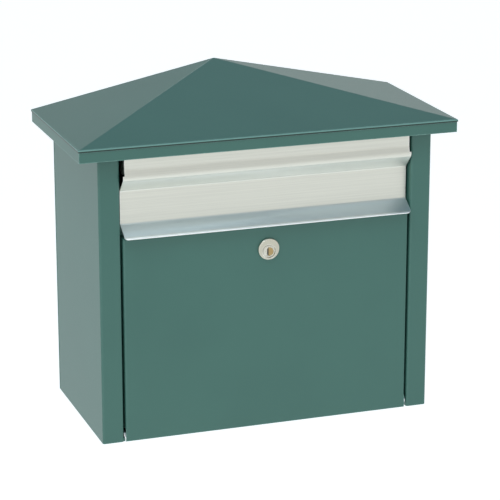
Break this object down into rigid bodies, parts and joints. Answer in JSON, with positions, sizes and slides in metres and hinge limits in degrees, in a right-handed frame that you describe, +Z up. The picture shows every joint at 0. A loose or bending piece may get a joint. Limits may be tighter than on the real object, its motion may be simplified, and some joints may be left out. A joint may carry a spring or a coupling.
{
  "type": "wall mounted mailbox",
  "caption": "Sheet-steel wall mailbox with a hipped roof, a hanging aluminium mail flap and a bottom-hinged locking door.",
  "frame": {"origin": "centre of the four wall-screw holes, on the back panel's rear face", "axes": "+Z up, +X to the right of a person facing the mailbox, +Y into the wall; the door faces -Y"},
  "size_m": [0.4, 0.1885, 0.352],
  "materials": {
    "green_powder_coat": "satin green powder coat on sheet steel",
    "brushed_aluminium": "fine brushed, clear anodised",
    "zinc_plate": "bright zinc plate",
    "lock_nickel": "warm nickel plate on die-cast zinc",
    "brass": "plain turned brass",
    "spring_steel": "bright drawn steel",
    "black_rubber": "moulded rubber, matt"
  },
  "bodies": {
    "box": {"left_side_panel": "green_powder_coat", "right_side_panel": "green_powder_coat", "back_panel": "green_powder_coat", "bottom_panel": "green_powder_coat", "roof": "green_powder_coat", "header_rail": "green_powder_coat", "slot_rail": "green_powder_coat", "body_hinge_leaf": "zinc_plate", "hinge_pin": "spring_steel", "hinge_rivets": "zinc_plate", "flap_pivot_rod": "spring_steel", "rod_push_nuts": "zinc_plate", "flap_bumpers": "black_rubber"},
    "door": {"door_panel": "green_powder_coat", "door_hinge_leaf": "zinc_plate", "lock_housing": "lock_nickel", "lock_washer": "zinc_plate", "lock_nut": "zinc_plate", "driver_pins": "spring_steel", "pin_springs": "spring_steel"},
    "lock_core": {"lock_plug": "lock_nickel", "lock_shutter": "brass", "key_pins": "brass", "stop_washer": "spring_steel", "lock_cam": "zinc_plate", "cam_screw": "zinc_plate"},
    "flap": {"mail_flap": "brushed_aluminium"}
  },
  "joints": [
    {"name": "door_hinge", "type": "hinge", "parent": "box", "child": "door", "pos_m": [0, -0.16954, -0.1435], "axis": [1, 0, 0], "range_deg": [0, 90]},
    {"name": "lock_turn", "type": "hinge", "parent": "door", "child": "lock_core", "pos_m": [0, -0.174, 0.0372], "axis": [0, 1, 0], "range_deg": [0, 90]},
    {"name": "flap_hinge", "type": "hinge", "parent": "box", "child": "flap", "pos_m": [0, -0.168, 0.15], "axis": [-1, 0, 0], "range_deg": [0, 50]}
  ]
}
